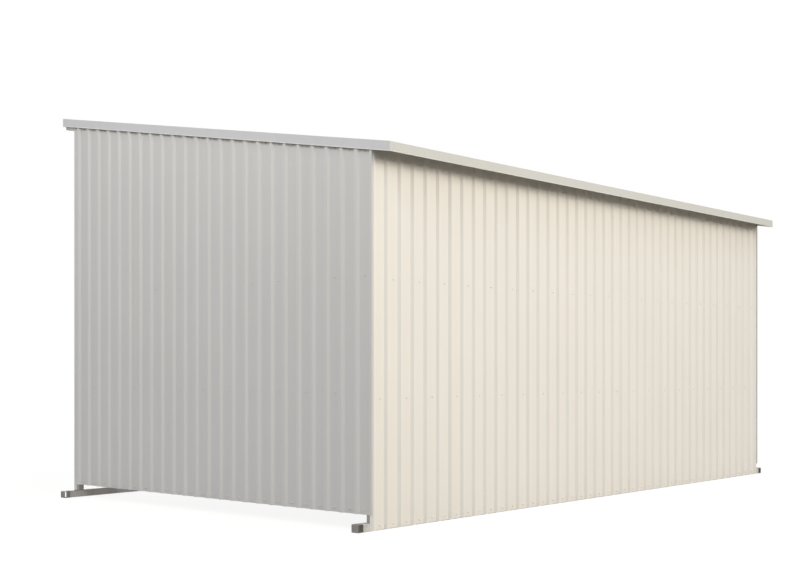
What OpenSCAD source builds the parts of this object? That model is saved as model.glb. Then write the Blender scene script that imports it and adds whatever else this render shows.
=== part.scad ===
// Portable field shelter: a mono-pitch steel building on two tow skids, clad with ribbed sheets.
// X runs along the length, the open front faces -Y, and Z = 0 is the ground under the skids.
// The origin is the centre of the footprint.

/* [Building] */
// Ribbed sheets side by side on the rear wall, and on the roof
rear_sheets = 7; // [4:1:10]
// Ribbed sheets side by side on each end wall
side_sheets = 4; // [2:1:6]
// Height of the roof edge along the rear
rear_h = 2296; // [1900:1:2500]
// Height of the roof edge along the front
front_h = 2857; // [2600:1:3200]
// How far the roof runs past the ribs of the rear wall
rear_overhang = 145; // [60:1:250]
// How far the roof runs past the front posts
front_overhang = 126; // [120:1:300]
// Ground to the bottom edge of the rear sheets
rear_ground_gap = 4; // [2:1:40]
// Ground to the bottom edge of the end wall sheets
side_ground_gap = 95; // [60:1:150]

/* [Ribbed sheets] */
// Width that one sheet covers
cover_w = 740; // [600:10:900]
// Ribs in one cover width
ribs_per_sheet = 6; // [4:1:8]
// Height of a rib above the pan
rib_h = 14; // [8:1:22]
// Flat width on top of a rib
crest_w = 16; // [10:1:35]
// Width of a rib's sloping side
flank_w = 17; // [10:1:24]
// Thickness of the sheet steel
sheet_t = 0.6; // [0.4:0.1:1.2]
// Share of a rib's side that the next sheet laps over
lap_share = 0.6; // [0.2:0.1:0.8]
// Last rib of the rear wall to the building's corner
corner_margin = 27; // [15:1:60]
// First rib of an end wall, past the back of the rear posts
side_first_rib = 7; // [4:1:12]
// Last rib of an end wall to its front edge
side_front_margin = 41; // [32:1:60]
// Front edge of an end wall to the front face of the posts
post_reveal = 22; // [10:1:26]

/* [Frame] */
// Side of the square rear posts, rafters and rails
post_w = 40; // [35:1:60]
// Side of the square front posts
front_post_w = 50; // [40:1:60]
// Wall of those tubes
post_t = 2; // [1.5:0.5:4]
// Side of the square skids
skid_w = 50; // [48:1:80]
// Wall of the skids
skid_t = 2.5; // [2:0.5:5]
// How far a skid sticks out past the ribs of each end wall
skid_reach = 105; // [70:5:200]
// Wall of the short tubes across the skid ends that serve as tow eyes
eye_t = 3; // [2:0.5:6]
// How far the front skid stands out past the posts
skid_lip = 0; // [0:1:20]
// Width of a roof purlin
purlin_w = 50; // [30:1:80]
// Height of a roof purlin
purlin_h = 25; // [20:1:40]
// Number of roof purlins
purlins = 5; // [3:1:8]
// How far the rafters run past the front posts
rafter_reach = 105; // [40:5:115]
// Rails between the skid or lowest rail and the top of the wall
girt_rows = 2; // [1:1:4]
// Lowest rail of an end wall above the sheets' bottom edge
low_girt_rise = 6; // [2:1:40]

/* [Edge cappings] */
// Height of the cappings' upright faces
trim_h = 56; // [45:1:120]
// Width of the leg that lies on the roof
trim_leg = 75; // [65:1:90]
// Gap left under the barge capping's inner fold
fold_gap = 2; // [1:0.5:5]
// Thickness of the folded steel
trim_t = 0.8; // [0.6:0.1:1.5]
// How far the drip fold at the bottom kicks out
drip_w = 3; // [2:1:10]
// End wall ribs to the back of the barge capping
barge_gap = 1; // [1:1:15]
// Width of a corner capping's leg on the end wall
corner_leg = 30; // [28:1:38]
// Width of its leg across the front post
corner_face = 36; // [20:1:40]
// Gap in the mitre between two cappings
mitre_gap = 0.3; // [0.2:0.1:1]
// Gap between sheet ends and the steel they stop short of
end_gap = 3; // [1:0.5:8]

/* [Hidden] */
RIGHT = 1;
LEFT = -1;
pitch = cover_w / ribs_per_sheet;
skin = rib_h + sheet_t;                    // frame face to the outside of a rib
body_l = rear_sheets * cover_w + 2 * corner_margin;
frame_x = body_l / 2 - skin;               // outer face of the end frames
side_run = side_sheets * cover_w - side_first_rib + side_front_margin;
frame_d = side_run + post_reveal;          // rear face to front face of the posts
roof_d = rear_overhang + skin + frame_d + front_overhang;
roof_back = roof_d / 2;                    // rear edge of the roof
frame_back = roof_back - rear_overhang - skin;
frame_front = frame_back - frame_d;
slope = atan((front_h - rear_h) / roof_d);
roof_run = roof_d / cos(slope);
roof_stack = trim_t + rib_h + 2 * sheet_t; // top of the cappings to the purlins
rafter_top = roof_stack + purlin_h;
rafter_foot = rafter_top + post_w;
barge_x = body_l / 2 + barge_gap + trim_t; // outer face of the barge cappings
roof_margin = barge_x - trim_t - end_gap - rear_sheets * cover_w / 2;
skid_l = body_l + 2 * skid_reach;
cut = body_l + roof_d;                     // reach of the cutting blocks

cream = [0.93, 0.9, 0.84];
trim_grey = [0.85, 0.83, 0.78];
galv = [0.62, 0.63, 0.64];

// Height of the surface that lies depth below the top of the roof, at a place y
function under_roof(y, depth) = rear_h + (roof_back - y) * tan(slope) - depth / cos(slope);

// ---- Profiles ----

// Height of the rib profile at a distance m from a rib's centre
function rise_at(m) = lookup(abs(m), [[crest_w / 2, rib_h], [crest_w / 2 + flank_w, 0]]);

// Whole ribs from the first to the last number, each from foot to foot
function ribs(first, last) = [
    for (i = [first:last])
        for (m = [-crest_w / 2 - flank_w, -crest_w / 2, crest_w / 2, crest_w / 2 + flank_w])
            [i * pitch + m, rise_at(m)]
];

// Rib that laps over the last rib of the sheet before it, lifted by the sheet's thickness
lap_from = -crest_w / 2 - lap_share * flank_w;
function lap_rib() = [
    [lap_from, rise_at(lap_from) + sheet_t],
    [-crest_w / 2, rib_h + sheet_t],
    [crest_w / 2, rib_h + sheet_t],
    [crest_w / 2 + flank_w, 0]
];

// Line cut off at two places
function clipped(line, u0, u1) = concat(
    [[u0, lookup(u0, line)]],
    [for (p = line) if (p[0] > u0 && p[0] < u1) p],
    [[u1, lookup(u1, line)]]
);

// Inside line of sheet number i out of n, in a wall that ends at the given margins past its outer ribs
function sheet_line(i, n, start_m, end_m) = clipped(
    concat(
        [[-pitch, 0]],
        i == 1 ? ribs(0, 0) : lap_rib(),
        ribs(1, ribs_per_sheet),
        [[cover_w + pitch, 0]]
    ),
    i == 1 ? -start_m : lap_from,
    cover_w + (i == n ? end_m : crest_w / 2 - sheet_t)
);

// The line made into a closed outline of sheet thickness
module sheet_section(i, n, start_m, end_m) {
    line = sheet_line(i, n, start_m, end_m);
    back = [for (k = [len(line) - 1:-1:0]) line[k] + [0, sheet_t]];
    translate([(i - 1) * cover_w, 0])
        polygon(concat(line, back));
}

// Outline of a strip of thickness t folded along a path; its metal lies to the right of the path
function unit(v) = v / norm(v);
function right_of(v) = [v[1], -v[0]];
function fold_shift(path, k) = let (
        last = len(path) - 1,
        before = right_of(unit(path[max(k, 1)] - path[max(k, 1) - 1])),
        after = right_of(unit(path[min(k, last - 1) + 1] - path[min(k, last - 1)])))
    (before + after) / (1 + before * after);
function folded(path, t) = concat(
    path, [for (k = [len(path) - 1:-1:0]) path[k] + t * fold_shift(path, k)]
);

// ---- Placing ----

// Into the roof's own frame: origin on its rear top edge, Y down the slope to the rear, Z square to it
module on_roof() {
    translate([0, roof_back, rear_h])
        rotate([-slope, 0, 0])
            children();
}

// A section drawn in Y and Z, stretched along X from x0 over a length
module along_x(x0, length) {
    translate([x0, 0, 0])
        rotate([90, 0, 90])
            linear_extrude(length)
                children();
}

// Block that takes away all that is higher than a depth below the roof
module above_roof(depth) {
    on_roof()
        translate([-cut, -cut, -depth])
            cube([2 * cut, 2 * cut, cut]);
}

// ---- Tubes ----

// Rectangle with rounded corners
module rounded(w, h, r) {
    translate([r, 0])
        square([w - 2 * r, h]);
    translate([0, r])
        square([w, h - 2 * r]);
    for (u = [r, w - r])
        for (v = [r, h - r])
            translate([u, v])
                circle(r = r, $fn = 32);
}

// Section of a rolled tube: outer corners of twice the wall, inner corners of one wall
module tube_section(w, h, t) {
    difference() {
        rounded(w, h, 2 * t);
        translate([t, t])
            rounded(w - 2 * t, h - 2 * t, t);
    }
}

// Left edge of a tube of width w in one of the three lines of posts and rafters
function line_x(place, w) = place == "left" ? -frame_x : place == "right" ? frame_x - w : -w / 2;

// Upright tube in a line, cut off to the slope below the rafters
module post(place, y, w) {
    color(galv)
        difference() {
            translate([line_x(place, w), y, skid_w])
                linear_extrude(front_h)
                    tube_section(w, w, post_t);
            above_roof(rafter_foot);
        }
}

module rear_post(place) post(place, frame_back - post_w, post_w);
module front_post(place) post(place, frame_front, front_post_w);

// Level tube along X over the span between two posts
module rail_x(span, y, z) {
    translate([0, y, z])
        along_x(span[0], span[1] - span[0])
            tube_section(post_w, post_w, post_t);
}

// Level tube along Y from the rear posts to the front posts
module rail_y(x, z) {
    translate([x, frame_back - post_w, z])
        rotate([90, 0, 0])
            linear_extrude(frame_d - post_w - front_post_w)
                tube_section(post_w, post_w, post_t);
}

// ---- Skids ----

// Square tube along X between the tow eyes
module skid(y) {
    color(galv)
        translate([0, y, 0])
            along_x(skid_w - skid_l / 2, skid_l - 2 * skid_w)
                tube_section(skid_w, skid_w, skid_t);
}

// Short square tube across each end of a skid, open to the front and the rear
module tow_eyes(y) {
    color(galv)
        for (x = [-skid_l / 2, skid_l / 2 - skid_w])
            translate([x, y + skid_w, 0])
                rotate([90, 0, 0])
                    linear_extrude(skid_w)
                        tube_section(skid_w, skid_w, eye_t);
}

rear_skid_y = frame_back - skid_w;
front_skid_y = frame_front - skid_lip;

module rear_skid() skid(rear_skid_y);
module front_skid() skid(front_skid_y);
module rear_tow_eyes() tow_eyes(rear_skid_y);
module front_tow_eyes() tow_eyes(front_skid_y);

// ---- Roof frame ----

module rafter(place) {
    color(galv)
        difference() {
            on_roof()
                translate([line_x(place, post_w), 0, -rafter_foot])
                    rotate([90, 0, 0])
                        linear_extrude(roof_run)
                            tube_section(post_w, post_w, post_t);
            translate([-cut, frame_back, 0])
                cube([2 * cut, cut, cut]);
            translate([-cut, frame_front - rafter_reach - cut, 0])
                cube([2 * cut, cut, cut]);
        }
}

module roof_purlins() {
    back = (roof_back - frame_back) / cos(slope);
    front = (roof_back - frame_front + rafter_reach) / cos(slope) - rafter_top * tan(slope);
    spacing = (front - back - purlin_w) / (purlins - 1);
    color(galv)
        on_roof()
            for (i = [0:purlins - 1])
                translate([0, -back - purlin_w - i * spacing, -rafter_top])
                    along_x(-frame_x, 2 * frame_x)
                        tube_section(purlin_w, purlin_h, post_t);
}

// ---- Rails ----

rear_rail_z = under_roof(frame_back, rafter_foot) - post_w;
header_z = under_roof(frame_front + post_w, rafter_foot) - post_w;
low_girt_z = side_ground_gap + low_girt_rise;

// Span from the middle post to an end post, in a row of posts of width w
function bay(side, w) = side == LEFT ?
    [line_x("left", w) + w, line_x("mid", w)] :
    [line_x("mid", w) + w, line_x("right", w)];

module front_header() {
    color(galv)
        for (side = [LEFT, RIGHT])
            rail_x(bay(side, front_post_w), frame_front, header_z);
}

module rear_girts(side) {
    rise = (rear_rail_z - skid_w) / (girt_rows + 1);
    color(galv)
        for (i = [1:girt_rows + 1])
            rail_x(bay(side, post_w), frame_back - post_w, skid_w + i * rise);
}

module side_girts(place) {
    rise = (rear_rail_z - low_girt_z) / (girt_rows + 1);
    color(galv)
        for (i = [0:girt_rows])
            rail_y(line_x(place, post_w), low_girt_z + i * rise);
}

// ---- Cladding ----

// The rear sheets stop against the inside of the end walls
rear_margin = corner_margin - sheet_t - mitre_gap;

module rear_sheet(i) {
    first_rib = -rear_sheets * cover_w / 2;
    top = under_roof(frame_back + skin, roof_stack) - end_gap;
    color(cream)
        translate([first_rib, frame_back, rear_ground_gap])
            linear_extrude(top - rear_ground_gap)
                sheet_section(i, rear_sheets, rear_margin, rear_margin);
}

// An end wall runs back as far as the rear wall's ribs stand out
side_start = skin - side_first_rib;

// End wall sheet, drawn from the rear corner forward with its ribs outward
module side_sheet(side, i) {
    color(cream)
        difference() {
            mirror([side == LEFT ? 1 : 0, 0, 0])
                translate([frame_x, frame_back + side_first_rib, side_ground_gap])
                    rotate([0, 0, -90])
                        linear_extrude(front_h)
                            sheet_section(i, side_sheets, side_start, side_front_margin);
            above_roof(roof_stack + end_gap);
        }
}

module roof_sheet(i) {
    rear_end = end_gap;
    front_end = end_gap + roof_stack * tan(slope);
    color(cream)
        on_roof()
            translate([-rear_sheets * cover_w / 2, -rear_end, -roof_stack])
                rotate([90, 0, 0])
                    linear_extrude(roof_run - rear_end - front_end)
                        sheet_section(i, rear_sheets, roof_margin, roof_margin);
}

// ---- Edge cappings ----

// Block that cuts a capping to the mitre at a corner of the roof; turn picks the side it takes
module mitre_block(x_side, y_side, turn) {
    translate([x_side * barge_x, y_side * roof_back, 0])
        rotate([0, 0, turn])
            translate([mitre_gap / 2, -cut / 2, 0])
                cube([cut, cut, cut]);
}

// Barge capping along an end: fold down to the pan, leg on the ribs, upright face, drip fold
module barge(side) {
    face = trim_h * cos(slope);
    path = [
        [barge_x - trim_leg, fold_gap - rib_h],
        [barge_x - trim_leg, 0],
        [barge_x, 0],
        [barge_x, -face],
        [barge_x + drip_w, -face - drip_w]
    ];
    color(trim_grey)
        mirror([side == LEFT ? 1 : 0, 0, 0])
            difference() {
                on_roof()
                    translate([0, trim_leg, 0])
                        rotate([90, 0, 0])
                            linear_extrude(roof_run + 2 * trim_leg)
                                polygon(folded(path, trim_t));
                mitre_block(1, 1, 135);
                mitre_block(1, -1, -135);
            }
}

// Fascia capping along the front or the rear
module fascia(y_side) {
    edge = y_side * roof_back;
    inner = edge - y_side * trim_leg * cos(slope);
    path = [
        [inner, under_roof(inner, 0)],
        [edge, under_roof(edge, 0)],
        [edge, under_roof(edge, 0) - trim_h],
        [edge + y_side * drip_w, under_roof(edge, 0) - trim_h - drip_w]
    ];
    along = y_side > 0 ? path : [for (k = [len(path) - 1:-1:0]) path[k]];
    color(trim_grey)
        difference() {
            along_x(-barge_x - trim_leg, 2 * (barge_x + trim_leg))
                polygon(folded(along, trim_t));
            mitre_block(1, y_side, y_side > 0 ? -45 : 45);
            mirror([1, 0, 0])
                mitre_block(1, y_side, y_side > 0 ? -45 : 45);
        }
}

// Folded angles up the front corners, over the end walls' edges and across the posts
module front_corner_cappings() {
    end_face = frame_x + sheet_t;
    path = [
        [frame_x - corner_face, frame_front],
        [end_face, frame_front],
        [end_face, frame_front + corner_leg]
    ];
    color(cream)
        for (side = [LEFT, RIGHT])
            mirror([side == LEFT ? 1 : 0, 0, 0])
                difference() {
                    translate([0, 0, skid_w + end_gap])
                        linear_extrude(front_h)
                            polygon(folded(path, trim_t));
                    above_roof(roof_stack + end_gap);
                    // Room for the rafter that runs out over the post
                    intersection() {
                        above_roof(rafter_foot + end_gap);
                        translate([end_face - cut, -cut, 0])
                            cube([cut, 2 * cut, cut]);
                    }
                }
}

// ---- Drawing ----

rear_skid();
front_skid();
rear_tow_eyes();
front_tow_eyes();
rear_post("left");  // rear_post_left
rear_post("mid");  // rear_post_mid
rear_post("right");  // rear_post_right
front_post("left");  // front_post_left
front_post("mid");  // front_post_mid
front_post("right");  // front_post_right
rafter("left");  // rafter_left
rafter("mid");  // rafter_mid
rafter("right");  // rafter_right
roof_purlins();
front_header();
rear_girts(LEFT);  // rear_girts_left
rear_girts(RIGHT);  // rear_girts_right
side_girts("left");  // side_girts_left
side_girts("right");  // side_girts_right
for (i = [1:rear_sheets])
    rear_sheet(i);
for (i = [1:side_sheets])
    side_sheet(LEFT, i);
for (i = [1:side_sheets])
    side_sheet(RIGHT, i);
for (i = [1:rear_sheets])
    roof_sheet(i);
barge(LEFT);  // barge_left
barge(RIGHT);  // barge_right
fascia(1);  // rear_fascia
fascia(-1);  // front_fascia
front_corner_cappings();
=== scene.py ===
import math
import bmesh
import bpy
from mathutils import Matrix, Vector


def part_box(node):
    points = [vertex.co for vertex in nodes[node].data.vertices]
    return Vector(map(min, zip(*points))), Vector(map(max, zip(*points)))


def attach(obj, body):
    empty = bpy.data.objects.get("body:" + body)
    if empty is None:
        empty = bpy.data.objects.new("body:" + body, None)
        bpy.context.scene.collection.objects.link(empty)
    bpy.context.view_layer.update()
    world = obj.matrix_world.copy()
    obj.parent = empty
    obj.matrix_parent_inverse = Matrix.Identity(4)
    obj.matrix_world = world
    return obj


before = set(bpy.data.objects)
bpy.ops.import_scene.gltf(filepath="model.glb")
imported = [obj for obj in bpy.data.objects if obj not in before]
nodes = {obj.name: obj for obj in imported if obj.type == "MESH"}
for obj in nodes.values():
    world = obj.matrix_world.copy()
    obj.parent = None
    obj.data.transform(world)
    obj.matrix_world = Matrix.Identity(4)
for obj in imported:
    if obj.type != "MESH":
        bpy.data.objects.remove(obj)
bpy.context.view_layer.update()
print("frame loaded with", len(nodes), "steel parts")

# Sizes that the small pieces follow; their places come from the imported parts' own boxes
building = {
    "sheetsWide": 7,          # across the rear wall and the roof
    "coverWidth": 0.740,      # width that one sheet covers
    "ribsPerSheet": 6,
    "ribHigh": 0.014,
    "firstEndRib": 0.007,     # first rib of an end wall, behind the rear posts
    "sheetSteel": 0.0006,
    "cappingSteel": 0.0008,
    "cappingFace": 0.056,     # upright face of a capping
    "cappingDrip": 0.003,     # drip fold below it
    "tube": 0.040,
    "purlins": 5,
    "purlinWide": 0.050,
    "purlinHigh": 0.025,
}
xDir, yDir, zDir = Vector((1, 0, 0)), Vector((0, 1, 0)), Vector((0, 0, 1))
tube = building["tube"]
halfTube = tube / 2
sheetSteel = building["sheetSteel"]
rearEaveLow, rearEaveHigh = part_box("rear_fascia")
frontEaveLow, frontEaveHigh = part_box("front_fascia")
roofRearY = rearEaveHigh.y - building["cappingDrip"]
roofFrontY = frontEaveLow.y + building["cappingDrip"]
roofRearZ = rearEaveLow.z + building["cappingFace"] + building["cappingDrip"]
roofRise = (frontEaveHigh.z - roofRearZ) / (roofRearY - roofFrontY)
slope = math.atan(roofRise)
roofUp = Vector((0, math.sin(slope), math.cos(slope)))      # square to the roof
pitch = building["coverWidth"] / building["ribsPerSheet"]
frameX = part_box("rear_post_right")[1].x       # outer face of the end posts
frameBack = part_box("rear_post_right")[1].y
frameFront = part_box("front_post_right")[0].y
wallHalf = building["coverWidth"] * building["sheetsWide"] / 2     # last rib of the rear wall and the roof
underSheets = building["cappingSteel"] + building["ribHigh"] + 2 * sheetSteel
underPurlins = underSheets + building["purlinHigh"]


def roofPoint(x, y, depth=0.0):
    # point that lies depth below the roof's top face
    return Vector((x, y, roofRearZ + (roofRearY - y) * roofRise - depth / math.cos(slope)))


def railCentres(node, axis, count=3):
    # heights of the rails that share one node
    low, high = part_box(node)
    step = (high[axis] - low[axis] - tube) / (count - 1)
    return [low[axis] + halfTube + i * step for i in range(count)]


# Shader groups shared by the finishes

def newGroup(name, inputs, outputs):
    group = bpy.data.node_groups.new(name, "ShaderNodeTree")
    for label, kind, value in inputs:
        socket = group.interface.new_socket(label, in_out="INPUT", socket_type="NodeSocket" + kind)
        socket.default_value = value
    for label, kind in outputs:
        group.interface.new_socket(label, in_out="OUTPUT", socket_type="NodeSocket" + kind)
    return group, group.nodes.new("NodeGroupInput"), group.nodes.new("NodeGroupOutput")


def addNode(tree, kind, **settings):
    node = tree.nodes.new(kind)
    for key, value in settings.items():
        if key in node.inputs:
            node.inputs[key].default_value = value
        else:
            setattr(node, key, value)
    return node


def join(tree, *pairs):
    for source, target in pairs:
        tree.links.new(source, target)


def mathNode(tree, operation, first, second, clamp=False):
    node = addNode(tree, "ShaderNodeMath", operation=operation, use_clamp=clamp)
    for i, value in enumerate((first, second)):
        if isinstance(value, (int, float)):
            node.inputs[i].default_value = value
        else:
            tree.links.new(value, node.inputs[i])
    return node.outputs[0]


def rangeNode(tree, value, low, high, toLow, toHigh):
    node = addNode(tree, "ShaderNodeMapRange")
    tree.links.new(value, node.inputs["Value"])
    for label, number in (("From Min", low), ("From Max", high), ("To Min", toLow), ("To Max", toHigh)):
        node.inputs[label].default_value = number
    return node.outputs["Result"]


noiseSpan = (0.3, 0.7)      # most values of a noise lie between these


def spreadNoise(tree, noise, toLow, toHigh):
    return rangeNode(tree, noise, *noiseSpan, toLow, toHigh)


def noiseNode(tree, vector, scale, detail=2.0, stretch=(1, 1, 1)):
    place = addNode(tree, "ShaderNodeMapping")
    place.inputs["Scale"].default_value = stretch
    noise = addNode(tree, "ShaderNodeTexNoise", Scale=scale, Detail=detail)
    join(tree, (vector, place.inputs["Vector"]), (place.outputs["Vector"], noise.inputs["Vector"]))
    return noise.outputs["Fac"]


def scaleColor(tree, color, factor):
    node = addNode(tree, "ShaderNodeVectorMath", operation="SCALE")
    join(tree, (color, node.inputs[0]), (factor, node.inputs["Scale"]))
    return node.outputs["Vector"]


def mixColor(tree, share, first, second):
    node = addNode(tree, "ShaderNodeMix", data_type="RGBA")
    join(tree, (share, node.inputs["Factor"]), (first, node.inputs["A"]), (second, node.inputs["B"]))
    return node.outputs["Result"]


paintTexture = {
    "patchScale": 1.3,
    "runScale": 16,
    "runStretch": (1, 1, 0.04),      # long down the wall
    "runRoughness": 0.035,
    "peelScale": 420,
    "peelDepth": 0.000012,
    "waveScale": 1.7,
    "waveStretch": (1, 1, 0.45),
    "speckScale": 34,
    "dustEdge": (0.35, 1.4),         # ragged edge, as shares of the dust's height
    "dustFade": 1.6,
    "dustRoughness": 0.4,
}


def buildPaintSkin():
    # factory paint on steel: patches, faint runs down the wall, peel, waviness, dust near the ground
    group, entry, result = newGroup(
        "paint skin",
        [("Color", "Color", (0.8, 0.8, 0.8, 1)), ("Dust Color", "Color", (0.5, 0.46, 0.4, 1)),
         ("Patches", "Float", 0.02), ("Runs", "Float", 0.02), ("Dust", "Float", 0.2), ("Dust Height", "Float", 0.3),
         ("Base Roughness", "Float", 0.45), ("Waviness", "Float", 0.0004)],
        [("Color", "Color"), ("Roughness", "Float"), ("Height", "Float")])
    place = addNode(group, "ShaderNodeTexCoord").outputs["Object"]
    patches = noiseNode(group, place, paintTexture["patchScale"], 3)
    runs = noiseNode(group, place, paintTexture["runScale"], 3, paintTexture["runStretch"])
    peel = noiseNode(group, place, paintTexture["peelScale"], 1)
    waves = noiseNode(group, place, paintTexture["waveScale"], 1, paintTexture["waveStretch"])
    specks = noiseNode(group, place, paintTexture["speckScale"], 4)
    split = addNode(group, "ShaderNodeSeparateXYZ")
    join(group, (place, split.inputs[0]))
    # dust thins out upwards
    edge = mathNode(group, "MULTIPLY", entry.outputs["Dust Height"],
                    spreadNoise(group, specks, *paintTexture["dustEdge"]))
    rise = mathNode(group, "SUBTRACT", 1.0, mathNode(group, "DIVIDE", split.outputs["Z"], edge), clamp=True)
    dust = mathNode(group, "MULTIPLY", mathNode(group, "POWER", rise, paintTexture["dustFade"]),
                    entry.outputs["Dust"], clamp=True)
    patchTone = mathNode(group, "MULTIPLY", spreadNoise(group, patches, -1, 1), entry.outputs["Patches"])
    runTone = mathNode(group, "MULTIPLY", spreadNoise(group, runs, -1, 1), entry.outputs["Runs"])
    tone = mathNode(group, "ADD", mathNode(group, "ADD", patchTone, runTone), 1.0)
    color = mixColor(group, dust, scaleColor(group, entry.outputs["Color"], tone), entry.outputs["Dust Color"])
    runRough = spreadNoise(group, runs, -paintTexture["runRoughness"], paintTexture["runRoughness"])
    dustRough = mathNode(group, "MULTIPLY", dust, paintTexture["dustRoughness"])
    rough = mathNode(group, "ADD", entry.outputs["Base Roughness"], mathNode(group, "ADD", runRough, dustRough))
    height = mathNode(group, "ADD", mathNode(group, "MULTIPLY", peel, paintTexture["peelDepth"]),
                      mathNode(group, "MULTIPLY", waves, entry.outputs["Waviness"]))
    join(group, (color, result.inputs["Color"]), (rough, result.inputs["Roughness"]),
         (height, result.inputs["Height"]))
    return group


def buildSheetSide():
    # 1 on the painted face and the edges of a sheet, 0 on the face that looks into the building
    group, entry, result = newGroup("sheet side", [("Outward", "Vector", (0, 0, 1))], [("Painted", "Float")])
    normal = addNode(group, "ShaderNodeNewGeometry").outputs["True Normal"]
    facing = addNode(group, "ShaderNodeVectorMath", operation="DOT_PRODUCT")
    edgeFacing = -0.05
    join(group, (normal, facing.inputs[0]), (entry.outputs["Outward"], facing.inputs[1]),
         (mathNode(group, "GREATER_THAN", facing.outputs["Value"], edgeFacing), result.inputs["Painted"]))
    return group


zincTexture = {
    "bendScale": 45,
    "bend": 0.008,               # how far the crystals' borders wander
    "crystalRoughness": 0.06,
    "bloomScale": 7,
    "bloomEdge": (0.42, 0.66),
    "bloomRoughness": 0.25,
    "cleanMetal": 0.65,
    "bloomMetal": 0.30,
    "pitScale": 260,
    "pitDepth": 0.00003,
}


def buildZincSpangle():
    # hot dipped zinc: crystals, fine pits and dull bloom
    group, entry, result = newGroup(
        "zinc spangle",
        [("Color", "Color", (0.6, 0.6, 0.6, 1)), ("Bloom Color", "Color", (0.7, 0.7, 0.7, 1)),
         ("Crystal Scale", "Float", 80.0), ("Contrast", "Float", 0.1), ("Bloom", "Float", 0.4),
         ("Base Roughness", "Float", 0.4), ("Shade", "Float", 1.0)],
        [("Color", "Color"), ("Roughness", "Float"), ("Metal", "Float"), ("Height", "Float")])
    place = addNode(group, "ShaderNodeTexCoord").outputs["Object"]
    wander = noiseNode(group, place, zincTexture["bendScale"], 2)
    wanderPoint = addNode(group, "ShaderNodeCombineXYZ")
    shift = addNode(group, "ShaderNodeVectorMath", operation="SCALE", Scale=zincTexture["bend"])
    join(group, *((wander, wanderPoint.inputs[i]) for i in range(3)), (wanderPoint.outputs[0], shift.inputs[0]))
    moved = addNode(group, "ShaderNodeVectorMath", operation="ADD")
    join(group, (place, moved.inputs[0]), (shift.outputs[0], moved.inputs[1]))
    crystals = addNode(group, "ShaderNodeTexVoronoi")
    pick = addNode(group, "ShaderNodeSeparateColor")
    join(group, (moved.outputs[0], crystals.inputs["Vector"]),
         (entry.outputs["Crystal Scale"], crystals.inputs["Scale"]), (crystals.outputs["Color"], pick.inputs[0]))
    grain = rangeNode(group, pick.outputs["Red"], 0, 1, -1, 1)
    tone = mathNode(group, "ADD", mathNode(group, "MULTIPLY", grain, entry.outputs["Contrast"]), 1.0)
    bloomPatches = noiseNode(group, place, zincTexture["bloomScale"], 4)
    bloom = mathNode(group, "MULTIPLY", rangeNode(group, bloomPatches, *zincTexture["bloomEdge"], 0, 1),
                     entry.outputs["Bloom"])
    clean = scaleColor(group, entry.outputs["Color"], tone)
    # Shade darkens the whole colour: painted shade on the posts and tow eyes
    color = scaleColor(group, mixColor(group, bloom, clean, entry.outputs["Bloom Color"]), entry.outputs["Shade"])
    crystalRough = mathNode(group, "MULTIPLY", grain, zincTexture["crystalRoughness"])
    bloomRough = mathNode(group, "MULTIPLY", bloom, zincTexture["bloomRoughness"])
    rough = mathNode(group, "ADD", entry.outputs["Base Roughness"],
                     mathNode(group, "ADD", crystalRough, bloomRough))
    metal = rangeNode(group, bloom, 0, 1, zincTexture["cleanMetal"], zincTexture["bloomMetal"])
    height = mathNode(group, "MULTIPLY", noiseNode(group, place, zincTexture["pitScale"], 2), zincTexture["pitDepth"])
    join(group, (color, result.inputs["Color"]), (rough, result.inputs["Roughness"]),
         (metal, result.inputs["Metal"]), (height, result.inputs["Height"]))
    return group


mouldTexture = {
    "shade": (0.85, 1.2),        # colour in the hollows and on the peaks of the grain: painted shade in the hollows, painted highlight on the peaks
    "depth": 0.00003,
}


def buildMouldedGrain():
    # fine grain of moulded rubber and plastic, with painted shade in its hollows and painted highlight on its peaks
    group, entry, result = newGroup(
        "moulded grain",
        [("Color", "Color", (0.05, 0.05, 0.05, 1)), ("Grain Scale", "Float", 900.0), ("Smooth", "Float", 0.4),
         ("Rough", "Float", 0.6)],
        [("Color", "Color"), ("Roughness", "Float"), ("Height", "Float")])
    fine = addNode(group, "ShaderNodeTexNoise", Detail=3.0)
    join(group, (addNode(group, "ShaderNodeTexCoord").outputs["Object"], fine.inputs["Vector"]),
         (entry.outputs["Grain Scale"], fine.inputs["Scale"]))
    share = spreadNoise(group, fine.outputs["Fac"], 0, 1)
    span = mathNode(group, "SUBTRACT", entry.outputs["Rough"], entry.outputs["Smooth"])
    rough = mathNode(group, "ADD", entry.outputs["Smooth"], mathNode(group, "MULTIPLY", span, share))
    # colour follows the grain's height: painted shade in the hollows, painted highlight on the peaks
    color = scaleColor(group, entry.outputs["Color"], rangeNode(group, share, 0, 1, *mouldTexture["shade"]))
    height = mathNode(group, "MULTIPLY", share, mouldTexture["depth"])
    join(group, (color, result.inputs["Color"]), (rough, result.inputs["Roughness"]),
         (height, result.inputs["Height"]))
    return group


paintSkin = buildPaintSkin()
sheetSide = buildSheetSide()
zincSpangle = buildZincSpangle()
mouldedGrain = buildMouldedGrain()
print("shader groups made")


# Finishes

def newFinish(name, **fixed):
    material = bpy.data.materials.new(name)
    material.use_nodes = True
    tree = material.node_tree
    shader = tree.nodes["Principled BSDF"]
    for label, value in fixed.items():
        shader.inputs[label].default_value = value
    return material, tree, shader


def useGroup(tree, group, values):
    node = tree.nodes.new("ShaderNodeGroup")
    node.node_tree = group
    for label, value in values.items():
        node.inputs[label].default_value = value
    return node


def addBump(tree, shader, height):
    bump = addNode(tree, "ShaderNodeBump", Strength=1.0, Distance=1.0)
    join(tree, (height, bump.inputs["Height"]), (bump.outputs["Normal"], shader.inputs["Normal"]))


def groupFinish(name, group, values, **fixed):
    # material whose whole surface comes from one group
    material, tree, shader = newFinish(name, **fixed)
    skin = useGroup(tree, group, values)
    for label, socket in (("Color", "Base Color"), ("Roughness", "Roughness"), ("Metal", "Metallic")):
        if label in skin.outputs:
            join(tree, (skin.outputs[label], shader.inputs[socket]))
    addBump(tree, shader, skin.outputs["Height"])
    return material


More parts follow.
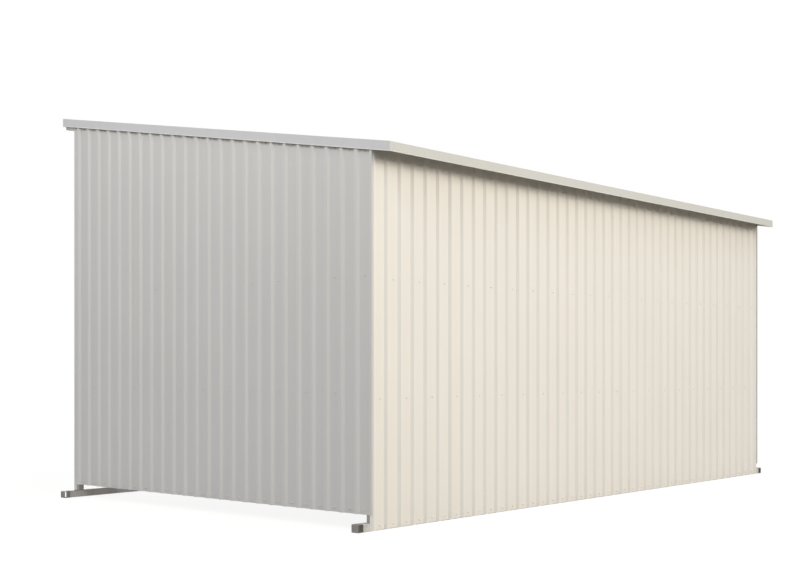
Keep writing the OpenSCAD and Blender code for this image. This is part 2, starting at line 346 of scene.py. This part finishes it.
sheetPaint = {
    "front": (0.835, 0.785, 0.695, 1),
    "back": (0.44, 0.44, 0.43, 1),       # thin grey coat on the reverse
    "roughness": 0.46,
    "roofRoughness": 0.64,               # dulled by sun and rain
    "backRoughness": 0.60,
    "patches": 0.012,
    "runs": 0.012,
    "waviness": 0.0005,
    "dust": (0.60, 0.55, 0.46, 1),
    "dustAmount": 0.10,
    "dustHeight": 0.30,
}


def paintedSheet(name, outward, dust=sheetPaint["dustAmount"], roughness=sheetPaint["roughness"]):
    # cream on the face that looks outward, grey coat on the face that looks in
    material, tree, shader = newFinish(name)
    shared = {"Patches": sheetPaint["patches"], "Runs": sheetPaint["runs"], "Waviness": sheetPaint["waviness"],
              "Dust Color": sheetPaint["dust"], "Dust": dust, "Dust Height": sheetPaint["dustHeight"]}
    front = useGroup(tree, paintSkin, {"Color": sheetPaint["front"], "Base Roughness": roughness, **shared})
    back = useGroup(tree, paintSkin,
                    {"Color": sheetPaint["back"], "Base Roughness": sheetPaint["backRoughness"], **shared})
    mask = useGroup(tree, sheetSide, {"Outward": outward}).outputs["Painted"]
    rough = addNode(tree, "ShaderNodeMix", data_type="FLOAT")
    join(tree, (mask, rough.inputs["Factor"]), (back.outputs["Roughness"], rough.inputs["A"]),
         (front.outputs["Roughness"], rough.inputs["B"]), (rough.outputs["Result"], shader.inputs["Roughness"]),
         (mixColor(tree, mask, back.outputs["Color"], front.outputs["Color"]), shader.inputs["Base Color"]))
    addBump(tree, shader, front.outputs["Height"])
    return material


cappingPaint = {
    # barges: lighter and cooler than the eaves' capping paint, painted light on the shaded ends
    "barge": (0.81, 0.765, 0.705, 1),
    "fascia": (0.642, 0.624, 0.560, 1),
    "roughness": 0.42,
    "fasciaRoughness": 0.60,             # duller coat on the eaves
    "fasciaSheen": 0.25,
    "patches": 0.010,
    "runs": 0.010,
    "waviness": 0.0003,
}


def plainPaint(name, color, settings, **fixed):
    # clean paint all round a piece
    return groupFinish(name, paintSkin, {
        "Color": color, "Patches": settings["patches"], "Runs": settings["runs"], "Dust": 0.0,
        "Base Roughness": settings["roughness"], "Waviness": settings["waviness"]}, **fixed)


zinc = {
    "tube": (0.445, 0.425, 0.395, 1),
    "bloom": (0.375, 0.355, 0.325, 1),
    "crystalScale": 85.0,
    "contrast": 0.09,
    "bloomAmount": 0.55,
    "roughness": 0.42,
    "postPaintedShade": 0.74,                   # posts and tow eyes get darker copies of the skids' zinc: painted shade
    "towEyePaintedShade": 0.55,
    "weld": (0.36, 0.345, 0.325, 1),     # zinc rich paint brushed over a weld
    "weldContrast": 0.03,
    "weldBloom": 0.9,
    "weldRoughness": 0.5,
}


def zincFinish(name, changes):
    return groupFinish(name, zincSpangle, {
        "Color": zinc["tube"], "Bloom Color": zinc["bloom"], "Crystal Scale": zinc["crystalScale"],
        "Contrast": zinc["contrast"], "Bloom": zinc["bloomAmount"], "Base Roughness": zinc["roughness"], **changes})


moulded = {
    "washer": {"color": (0.19, 0.185, 0.18, 1), "smooth": 0.55, "rough": 0.75, "grain": 900.0},
    "plug": {"color": (0.035, 0.035, 0.037, 1), "smooth": 0.38, "rough": 0.55, "grain": 1400.0},
}


def mouldedFinish(name, look):
    return groupFinish(name, mouldedGrain, {"Color": look["color"], "Smooth": look["smooth"],
                                            "Rough": look["rough"], "Grain Scale": look["grain"]})


rearCream = paintedSheet("rear wall cream", (0, 1, 0))
endCream = {"left": paintedSheet("left end cream", (-1, 0, 0)), "right": paintedSheet("right end cream", (1, 0, 0))}
roofCream = paintedSheet("roof cream", roofUp, 0.0, sheetPaint["roofRoughness"])
# lighter copy of the capping paint on the barges: painted light
bargeLitPaint = plainPaint("barge paint with painted light", cappingPaint["barge"], cappingPaint)
fasciaPaint = plainPaint("fascia paint", cappingPaint["fascia"],
                         {**cappingPaint, "roughness": cappingPaint["fasciaRoughness"]},
                         **{"Specular IOR Level": cappingPaint["fasciaSheen"]})
cornerPaint = plainPaint("corner paint", sheetPaint["front"], cappingPaint)
screwPaint = plainPaint("screw head cream", sheetPaint["front"], {**sheetPaint, "waviness": 0.0})
tubeZinc = zincFinish("galvanised tube", {})
# darker copies of the same zinc on posts and tow eyes: painted shade
postShadedZinc = zincFinish("galvanised post with painted shade", {"Shade": zinc["postPaintedShade"]})
towEyeShadedZinc = zincFinish("galvanised tow eye with painted shade", {"Shade": zinc["towEyePaintedShade"]})
weldZinc = zincFinish("painted weld", {"Color": zinc["weld"], "Contrast": zinc["weldContrast"],
                                       "Bloom": zinc["weldBloom"], "Base Roughness": zinc["weldRoughness"]})
washerRubber = mouldedFinish("washer rubber", moulded["washer"])
plugPlastic = mouldedFinish("black plug", moulded["plug"])


def finishOf(name):
    if name.startswith("rear_sheet"):
        return rearCream
    if name.startswith("side_sheet"):
        return endCream["left" if "left" in name else "right"]
    if name.startswith("roof_sheet"):
        return roofCream
    if name.startswith("barge"):
        return bargeLitPaint
    if name.startswith("front_corner"):
        return cornerPaint
    if name.endswith("fascia"):
        return fasciaPaint
    if "_post_" in name:
        return postShadedZinc
    return towEyeShadedZinc if name.endswith("tow_eyes") else tubeZinc


for name, node in nodes.items():
    node.data.materials.clear()
    node.data.materials.append(finishOf(name))
print("finishes on the sheets, cappings and tubes")


# Small pieces, one mesh for each kind and place

def turn(normal, along=zDir):
    # rotation whose Z is the normal and whose X lies as near as it can to along
    z = normal.normalized()
    nearlyParallel = abs(along.dot(z)) >= 0.99
    x = z.orthogonal().normalized() if nearlyParallel else (along - z * along.dot(z)).normalized()
    return Matrix((x, z.cross(x), z)).transposed().to_4x4()


def circle(radius, sides, height=0.0):
    return [Vector((radius * math.cos(math.tau * i / sides), radius * math.sin(math.tau * i / sides), height))
            for i in range(sides)]


def skinRings(mesh, rings):
    # closes a row of rings into a solid
    made = [mesh.faces.new(rings[0][::-1]), mesh.faces.new(rings[-1])]
    for lower, upper in zip(rings, rings[1:]):
        for i in range(len(lower)):
            k = (i + 1) % len(lower)
            made.append(mesh.faces.new((lower[i], lower[k], upper[k], upper[i])))
    return made


def addTurned(mesh, place, profile, sides, material=0):
    # turned solid from a profile of radius and height
    rings = [[mesh.verts.new(place @ point) for point in circle(radius, sides, height)]
             for radius, height in profile]
    for face in skinRings(mesh, rings):
        face.material_index = material


def finishPiece(name, mesh, materials, smoothAngle=35):
    mesh.normal_update()
    data = bpy.data.meshes.new(name)
    mesh.to_mesh(data)
    mesh.free()
    for material in materials:
        data.materials.append(material)
    piece = bpy.data.objects.new(name, data)
    bpy.context.scene.collection.objects.link(piece)
    data.shade_smooth()
    data.set_sharp_from_angle(angle=math.radians(smoothAngle))
    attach(piece, "root")


screw = {
    "washer": [(0.0060, 0.0), (0.0064, 0.0006), (0.0061, 0.0012)],     # radius and height of each ring
    "flange": [(0.0068, 0.0010), (0.0070, 0.0015), (0.0052, 0.0023)],
    "head": [(0.0040, 0.0020), (0.0040, 0.0052), (0.0033, 0.0058)],
    "sides": 14,
    "headSides": 6,
    "spinSteps": (37, 71),    # degrees from head to head along a row, and from row to row
    "footRise": 0.004,        # lowest row, above the middle of the skid
    "rafterDrop": 0.006,      # row on the outer rafters, below their middle
    "rafterClear": 0.09,      # least distance from that row down to a rail's
}


def addScrew(mesh, spot, normal, spin):
    place = Matrix.Translation(spot) @ turn(normal) @ Matrix.Rotation(spin, 4, "Z")
    addTurned(mesh, place, screw["washer"], screw["sides"], 1)
    addTurned(mesh, place, screw["flange"], screw["sides"])
    addTurned(mesh, place, screw["head"], screw["headSides"])


def spinOf(i, k):
    # heads stop at different turns
    along, across = screw["spinSteps"]
    return math.radians((i * along + k * across) % (360 // screw["headSides"]))


pans = int(round(2 * wallHalf / pitch))
rearRails = railCentres("rear_girts_left", 2)
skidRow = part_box("rear_skid")[1].z / 2 + screw["footRise"]
mesh = bmesh.new()
for k, z in enumerate([skidRow] + rearRails):
    step = 1 if k in (0, len(rearRails)) else 2       # every pan at the foot and the head
    for i in range(k % step, pans, step):
        spot = Vector((-wallHalf + (i + 0.5) * pitch, frameBack + sheetSteel, z))
        addScrew(mesh, spot, yDir, spinOf(i, k))
finishPiece("rear_wall_screws", mesh, [screwPaint, washerRubber])

endPans = int((frameBack - frameFront) / pitch)
for end, side in (("left", -1), ("right", 1)):
    mesh = bmesh.new()
    rails = railCentres("side_girts_" + end, 2)
    for i in range(endPans):
        y = frameBack + building["firstEndRib"] - (i + 0.5) * pitch
        rafterZ = roofPoint(0, y, underPurlins + halfTube + screw["rafterDrop"]).z
        heights = [rails[0], rafterZ] + (rails[1:] if i % 2 == 0 else [])
        for k, z in enumerate(heights):
            if k > 1 and rafterZ - z < screw["rafterClear"]:
                continue
            addScrew(mesh, Vector((side * (frameX + sheetSteel), y, z)), side * xDir, spinOf(i, k))
    finishPiece("end_wall_screws_" + end, mesh, [screwPaint, washerRubber])

purlinLow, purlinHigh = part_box("roof_purlins")
purlinReach = building["purlinWide"] / 2 * math.cos(slope)
purlinFirst = purlinLow.y + building["purlinHigh"] * math.sin(slope) + purlinReach
purlinLast = purlinHigh.y - purlinReach
lastLine = building["purlins"] - 1
purlinLines = [purlinFirst + i * (purlinLast - purlinFirst) / lastLine for i in range(building["purlins"])]
mesh = bmesh.new()
for k, y in enumerate(purlinLines):
    step = 1 if k in (0, lastLine) else 2
    for i in range(0, pans + 1, step):
        lapped = i % building["ribsPerSheet"] == 0
        depth = building["cappingSteel"] + (0 if lapped else sheetSteel)
        if k == 0 or i in (0, pans):
            depth = 0                    # through the capping's leg as well
        addScrew(mesh, roofPoint(-wallHalf + i * pitch, y, depth), roofUp, spinOf(i, k))
finishPiece("roof_screws", mesh, [screwPaint, washerRubber])
print("screws set along the rails, rafters and purlins")

rivet = {
    "profile": [(0.0034, 0.0), (0.0033, 0.0006), (0.0026, 0.0012), (0.0013, 0.0015)],
    "sides": 12,
    "inFromEdge": 0.040,       # on top of the rear eave's capping
    "bargeOffset": 0.028,      # from each mitre, on the barges and on the eaves
    "fasciaOffset": 0.033,
    "drops": (0.018, 0.042),   # down the upright faces there
    "cornerInset": 0.017,      # corner cappings: from the fold, from the ends and between rivets
    "cornerEnd": 0.060,
    "cornerSpacing": 0.44,
}


def addRivet(mesh, spot, normal):
    addTurned(mesh, Matrix.Translation(spot) @ turn(normal), rivet["profile"], rivet["sides"])


for name, edgeY, edgeZ, facing in (("rear_fascia", roofRearY, roofRearZ, 1),
                                   ("front_fascia", roofFrontY, frontEaveHigh.z, -1)):
    mesh = bmesh.new()
    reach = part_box(name)[1].x - rivet["fasciaOffset"]
    if facing > 0:
        for i in range(1, pans, 2):
            addRivet(mesh, roofPoint(-wallHalf + i * pitch, edgeY - rivet["inFromEdge"]), roofUp)
    for side in (-1, 1):
        for drop in rivet["drops"]:
            addRivet(mesh, Vector((side * reach, edgeY, edgeZ - drop)), facing * yDir)
    finishPiece(name + "_rivets", mesh, [fasciaPaint])
for end, side in (("left", -1), ("right", 1)):
    mesh = bmesh.new()
    low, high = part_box("barge_" + end)
    faceX = side * (max(abs(low.x), abs(high.x)) - building["cappingDrip"])
    for edgeY, inward in ((roofRearY, -1), (roofFrontY, 1)):
        spot = roofPoint(faceX, edgeY + inward * rivet["bargeOffset"])
        for drop in rivet["drops"]:
            addRivet(mesh, spot - zDir * drop, side * xDir)
    finishPiece("barge_rivets_" + end, mesh, [bargeLitPaint])
cornerLow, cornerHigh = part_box("front_corner_cappings")
bottom = cornerLow.z + rivet["cornerEnd"]
top = roofPoint(0, frameFront, underPurlins + tube).z - rivet["cornerEnd"]
rows = int((top - bottom) / rivet["cornerSpacing"]) + 1
for end, side in (("left", -1), ("right", 1)):
    mesh = bmesh.new()
    for i in range(rows):
        z = bottom + i * (top - bottom) / (rows - 1)
        addRivet(mesh, Vector((side * cornerHigh.x, frameFront + rivet["cornerInset"], z)), side * xDir)
        addRivet(mesh, Vector((side * (frameX - rivet["cornerInset"]), cornerLow.y, z)), -yDir)
    finishPiece("corner_rivets_" + end, mesh, [cornerPaint])
print("rivets in the cappings")

bead = {
    "radius": 0.0032,
    "slim": 0.0025,          # radius under the corner cappings
    "ripple": 0.0038,        # length of one solidified wave
    "fewestRipples": 3,
    "depth": 0.16,           # how much the waves cut in
    "unevenness": 0.05,
    "unevenSteps": (2.1, 0.9),     # from bead to bead and from ripple to ripple
    "endSize": 0.35,         # size at the very ends and how fast it grows from there
    "endGrowth": 6,
    "sides": 8,
    "clear": 0.004,          # from a bead's end to the tube's rounded corner
    "eyeDrop": 0.002,        # below the skid's top at the tow eyes
    "smoothAngle": 60,
}


def addBead(mesh, start, end, seed, radius):
    # rippled weld bead from start to end
    along = end - start
    ripples = max(bead["fewestRipples"], int(along.length / bead["ripple"]))
    place = turn(along, zDir if abs(along.normalized().z) < 0.9 else xDir)
    beadStep, rippleStep = bead["unevenSteps"]
    rings = []
    for i in range(2 * ripples + 1):
        share = i / (2 * ripples)
        uneven = bead["unevenness"] * math.sin(seed * beadStep + i * rippleStep)
        swell = 1 - bead["depth"] * (i % 2) + uneven
        size = radius * swell * min(1.0, bead["endSize"] + bead["endGrowth"] * min(share, 1 - share))
        middle = start + along * share
        rings.append([mesh.verts.new(middle + place @ point) for point in circle(size, bead["sides"])])
    skinRings(mesh, rings)


# Beads where tubes meet, on the faces that no sheet covers
seams = []
clear = bead["clear"]


def weld(x0, y0, z0, x1, y1, z1, radius=bead["radius"]):
    seams.append((Vector((x0, y0, z0)), Vector((x1, y1, z1)), radius))


def bareSides(place, low, high):
    # x of the side faces that no end wall covers
    return [x for x, end in ((low.x, "left"), (high.x, "right")) if end != place]


for place in ("left", "mid", "right"):
    rafterLow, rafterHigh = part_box("rafter_" + place)
    for row in ("rear", "front"):
        low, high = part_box(row + "_post_" + place)
        innerY = low.y if row == "rear" else high.y
        weld(low.x + clear, innerY, low.z, high.x - clear, innerY, low.z)
        if row == "front":
            weld(low.x + clear, low.y, low.z, high.x - clear, low.y, low.z, bead["slim"])
        for x in bareSides(place, low, high):
            weld(x, low.y + clear, low.z, x, high.y - clear, low.z)
        # under the rafter
        for y in (low.y, high.y):
            z = roofPoint(0, y, underPurlins + tube).z
            weld(rafterLow.x + clear, y, z, rafterHigh.x - clear, y, z)
        for x in bareSides(place, rafterLow, rafterHigh):
            weld(x, low.y + clear, roofPoint(0, low.y + clear, underPurlins + tube).z,
                 x, high.y - clear, roofPoint(0, high.y - clear, underPurlins + tube).z)


def railWelds(low, high, z, axis):
    # above and below both ends of one rail
    for end in (low[axis], high[axis]):
        for edgeZ in (z + halfTube, z - halfTube):
            if axis == 0:
                weld(end, low.y + clear, edgeZ, end, high.y - clear, edgeZ)
            else:
                weld(low.x + clear, end, edgeZ, high.x - clear, end, edgeZ)


def uprightWeld(x, y, z):
    # down the open face of a rail's end
    weld(x, y, z - halfTube + clear, x, y, z + halfTube - clear)


for bay in ("left", "right"):
    low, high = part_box("rear_girts_" + bay)
    for z in rearRails:
        railWelds(low, high, z, 0)
        for x in (low.x, high.x):
            uprightWeld(x, low.y, z)
    low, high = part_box("side_girts_" + bay)
    innerX = high.x if bay == "left" else low.x
    for z in railCentres("side_girts_" + bay, 2):
        railWelds(low, high, z, 1)
        for y in (low.y, high.y):
            uprightWeld(innerX, y, z)
midLow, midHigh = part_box("front_post_mid")
headLow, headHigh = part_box("front_header")
headZ = headLow.z + halfTube
for x0, x1 in ((headLow.x, midLow.x), (midHigh.x, headHigh.x)):
    railWelds(Vector((x0, headLow.y, 0)), Vector((x1, headHigh.y, 0)), headZ, 0)
    for x in (x0, x1):
        for y in (headLow.y, headHigh.y):
            uprightWeld(x, y, headZ)
# purlins on the rafters
for place in ("left", "mid", "right"):
    low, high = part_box("rafter_" + place)
    for y in purlinLines:
        for edgeY in (y - purlinReach, y + purlinReach):
            spot = roofPoint(0, edgeY, underPurlins)
            weld(low.x + clear, spot.y, spot.z, high.x - clear, spot.y, spot.z)
# tow eyes on the skid ends
for row in ("rear", "front"):
    low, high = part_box(row + "_skid")
    topZ = high.z - bead["eyeDrop"]
    for x in (low.x, high.x):
        weld(x, low.y + clear, topZ, x, high.y - clear, topZ)
        for y in (low.y, high.y):
            weld(x, y, low.z + clear, x, y, high.z - clear)
mesh = bmesh.new()
for i, (start, end, radius) in enumerate(seams):
    addBead(mesh, start, end, i, radius)
finishPiece("frame_welds", mesh, [weldZinc], bead["smoothAngle"])
print("frame welded with", len(seams), "beads")

plug = {
    # each ring's inset from the tube's outline, and how far it stands out of the tube
    "rings": [(0.0003, -0.0004), (0.0, 0.0024), (0.0012, 0.004), (0.006, 0.004), (0.0075, 0.0025)],
    "corner": 0.004,
    "leastCorner": 0.001,
    "rounds": 5,
}


def roundedLoop(wide, high, corner, rounds):
    points = []
    for u, v, start in ((1, 1, 0), (-1, 1, 90), (-1, -1, 180), (1, -1, 270)):
        for i in range(rounds + 1):
            a = math.radians(start + 90 * i / rounds)
            points.append((u * (wide / 2 - corner) + corner * math.cos(a),
                           v * (high / 2 - corner) + corner * math.sin(a)))
    return points


mesh = bmesh.new()
tall = tube / math.cos(slope)          # an upright cut through the sloping rafter
for place in ("left", "mid", "right"):
    low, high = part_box("rafter_" + place)
    middleX = (low.x + high.x) / 2
    middleZ = roofPoint(0, low.y, underPurlins + halfTube).z
    rings = []
    for inset, out in plug["rings"]:
        corner = max(plug["corner"] - inset, plug["leastCorner"])
        ring = roundedLoop(tube - 2 * inset, tall - 2 * inset, corner, plug["rounds"])
        rings.append([mesh.verts.new((middleX + u, low.y - out, middleZ + v)) for u, v in ring])
    skinRings(mesh, rings)
bmesh.ops.recalc_face_normals(mesh, faces=mesh.faces)
finishPiece("rafter_end_plugs", mesh, [plugPlastic])
print("plugs in the rafter ends")


# Studio: pale floor, soft lights and the camera

studio = {
    "floorHalf": 60.0,
    "floorColor": (0.175, 0.165, 0.145, 1),
    "floorRoughness": 0.9,
    "floorLift": 0.88,              # what the camera sees on top of the floor's own light
    "sky": (0.69, 0.74, 0.86, 1),
    "skyLow": 0.54,                 # level at the horizon
    "skyHigh": 0.92,                # and straight above
    "sunSpot": (0, 0, 5),
    # turn: degrees from straight behind the rear wall towards the left end
    # rise: degrees above the ground; spread: how wide the lamp looks, in degrees
    "suns": [
        {"name": "key", "color": (1.0, 0.934, 0.81), "level": 1.125,
         "turn": 26.0, "rise": 11.0, "spread": 19.0},
        {"name": "cross", "color": (1.0, 0.98, 0.93), "level": 0.385,
         "turn": -12.0, "rise": 10.0, "spread": 18.0},
        {"name": "end fill", "color": (0.73, 0.83, 1.0), "level": 0.45,
         "turn": -75.0, "rise": 34.0, "spread": 40.0},
        {"name": "front fill", "color": (1.0, 0.95, 0.87), "level": 1.05,
         "turn": 172.0, "rise": 16.0, "spread": 70.0},
    ],
    "washes": [
        {"name": "end wash", "color": (0.93, 0.95, 1.0), "power": 27.5, "wide": 4.5, "tall": 1.2,
         "spot": (4.9, 0.8, 4.1), "aim": (2.6, 0.8, 2.4)},
        {"name": "rear wash", "color": (1.0, 0.972, 0.91), "power": 63.0, "wide": 7.0, "tall": 1.5,
         "spot": (1.0, 5.6, 3.9), "aim": (1.0, 1.5, 2.0)},
    ],
}


def seenRays(tree):
    # 1 for what the camera sees straight, in a reflection or through glass
    rays = addNode(tree, "ShaderNodeLightPath")
    seen = mathNode(tree, "MAXIMUM", rays.outputs["Is Camera Ray"], rays.outputs["Is Glossy Ray"])
    return mathNode(tree, "MAXIMUM", seen, rays.outputs["Is Transmission Ray"])


mesh = bmesh.new()
reach = studio["floorHalf"]
corners = ((-reach, -reach), (reach, -reach), (reach, reach), (-reach, reach))
mesh.faces.new([mesh.verts.new((x, y, 0)) for x, y in corners])
floorData = bpy.data.meshes.new("floor")
mesh.to_mesh(floorData)
mesh.free()
floor = bpy.data.objects.new("floor", floorData)
bpy.context.scene.collection.objects.link(floor)
material, tree, shader = newFinish("pale floor", **{
    "Base Color": studio["floorColor"], "Roughness": studio["floorRoughness"], "Specular IOR Level": 0.0,
    "Emission Color": (1, 1, 1, 1)})
join(tree, (mathNode(tree, "MULTIPLY", seenRays(tree), studio["floorLift"]), shader.inputs["Emission Strength"]))
floorData.materials.append(material)

world = bpy.data.worlds.new("studio")
bpy.context.scene.world = world
world.use_nodes = True
tree = world.node_tree
sky = tree.nodes["Background"]
sky.inputs["Color"].default_value = studio["sky"]
split = addNode(tree, "ShaderNodeSeparateXYZ")
join(tree, (addNode(tree, "ShaderNodeTexCoord").outputs["Generated"], split.inputs[0]),
     (rangeNode(tree, split.outputs["Z"], 0, 1, studio["skyLow"], studio["skyHigh"]), sky.inputs["Strength"]))
white = addNode(tree, "ShaderNodeBackground", Color=(1, 1, 1, 1), Strength=1.0)
blend = addNode(tree, "ShaderNodeMixShader")
join(tree, (seenRays(tree), blend.inputs[0]), (sky.outputs[0], blend.inputs[1]),
     (white.outputs[0], blend.inputs[2]), (blend.outputs[0], tree.nodes["World Output"].inputs["Surface"]))


def addLamp(name, data, color, spot, towards):
    # towards: the direction from the shelter to the lamp
    data.color = color
    lamp = bpy.data.objects.new(name, data)
    lamp.location = spot
    lamp.rotation_euler = towards.to_track_quat("Z", "Y").to_euler()
    lamp.visible_camera = False
    bpy.context.scene.collection.objects.link(lamp)


for sun in studio["suns"]:
    data = bpy.data.lights.new(sun["name"], "SUN")
    data.energy = sun["level"]
    data.angle = math.radians(sun["spread"])
    a, b = math.radians(sun["turn"]), math.radians(sun["rise"])
    towards = Vector((-math.sin(a) * math.cos(b), math.cos(a) * math.cos(b), math.sin(b)))
    addLamp(sun["name"], data, sun["color"], studio["sunSpot"], towards)
for wash in studio["washes"]:
    data = bpy.data.lights.new(wash["name"], "AREA")
    data.energy = wash["power"]
    data.shape = "RECTANGLE"
    data.size = wash["wide"]
    data.size_y = wash["tall"]
    addLamp(wash["name"], data, wash["color"], wash["spot"], Vector(wash["spot"]) - Vector(wash["aim"]))

view = {
    "spot": (8.0361, 6.4151, 0.9794),
    "turn": (90, 0, 130.9716),       # level, degrees about X, Y and Z
    "lens": 55.976,
    "sensor": 36,
    "rise": 0.0979,
    "farthest": 200,
}
cameraData = bpy.data.cameras.new("camera")
cameraData.lens = view["lens"]
cameraData.sensor_width = view["sensor"]
cameraData.shift_y = view["rise"]
cameraData.clip_end = view["farthest"]
camera = bpy.data.objects.new("camera", cameraData)
camera.location = view["spot"]
camera.rotation_euler = [math.radians(degrees) for degrees in view["turn"]]
bpy.context.scene.collection.objects.link(camera)
bpy.context.scene.camera = camera
bpy.context.scene.view_settings.view_transform = "Standard"
print("floor, lights and camera ready")
